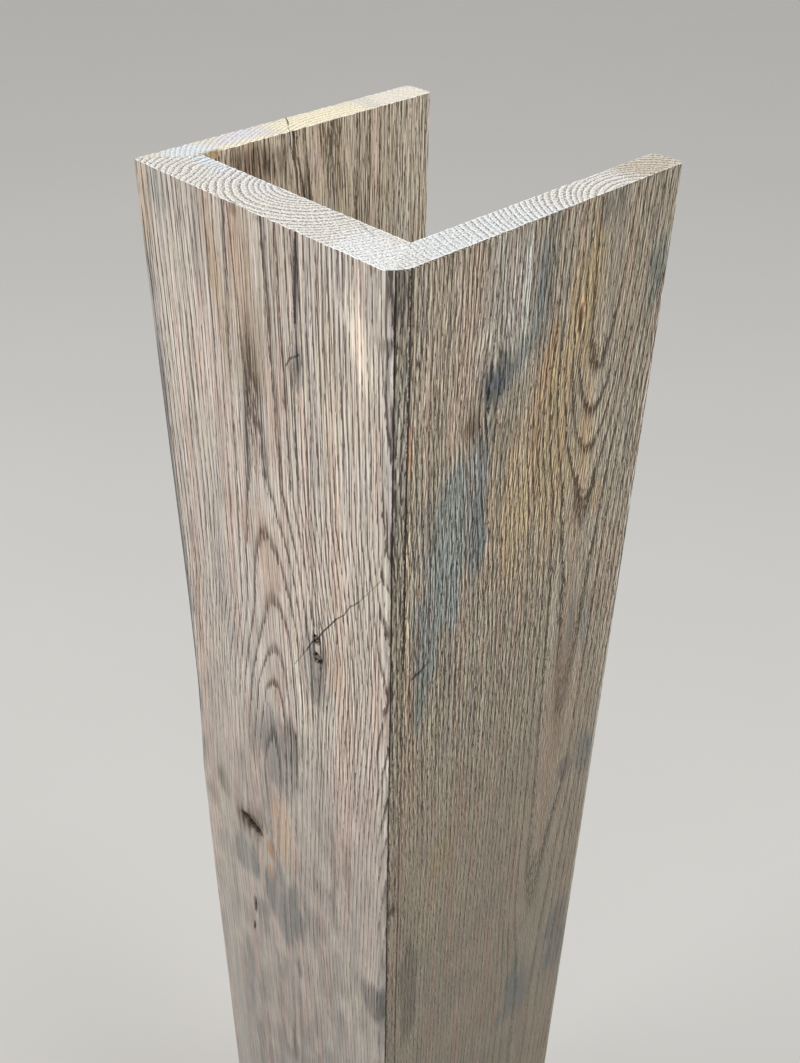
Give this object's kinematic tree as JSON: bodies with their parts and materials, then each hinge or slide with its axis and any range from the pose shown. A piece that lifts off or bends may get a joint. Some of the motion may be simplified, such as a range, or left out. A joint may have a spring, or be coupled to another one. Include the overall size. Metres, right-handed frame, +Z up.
{
  "type": "box beam",
  "caption": "Hollow timber box beam, U-shaped in section: brushed grey-brown oak boards mitred and glued along their long edges, pale sawn ends, one long side open.",
  "frame": {"origin": "middle of the foot of the overall box, on the sawn end that the beam stands on", "axes": "+Z up along the length, X across the width of the face board, +Y from the face board towards the open side"},
  "size_m": [0.191, 0.207, 1.2],
  "materials": {
    "face_oak": "brushed and aged grey-brown oak, pale sawn ends",
    "right_oak": "brushed and aged olive-brown oak with blue-grey stain, pale sawn ends",
    "left_oak": "brushed and aged brown oak, cream sawn ends"
  },
  "bodies": {
    "root": {"face_board": "face_oak", "right_side_board": "right_oak", "left_side_board": "left_oak"}
  },
  "joints": []
}
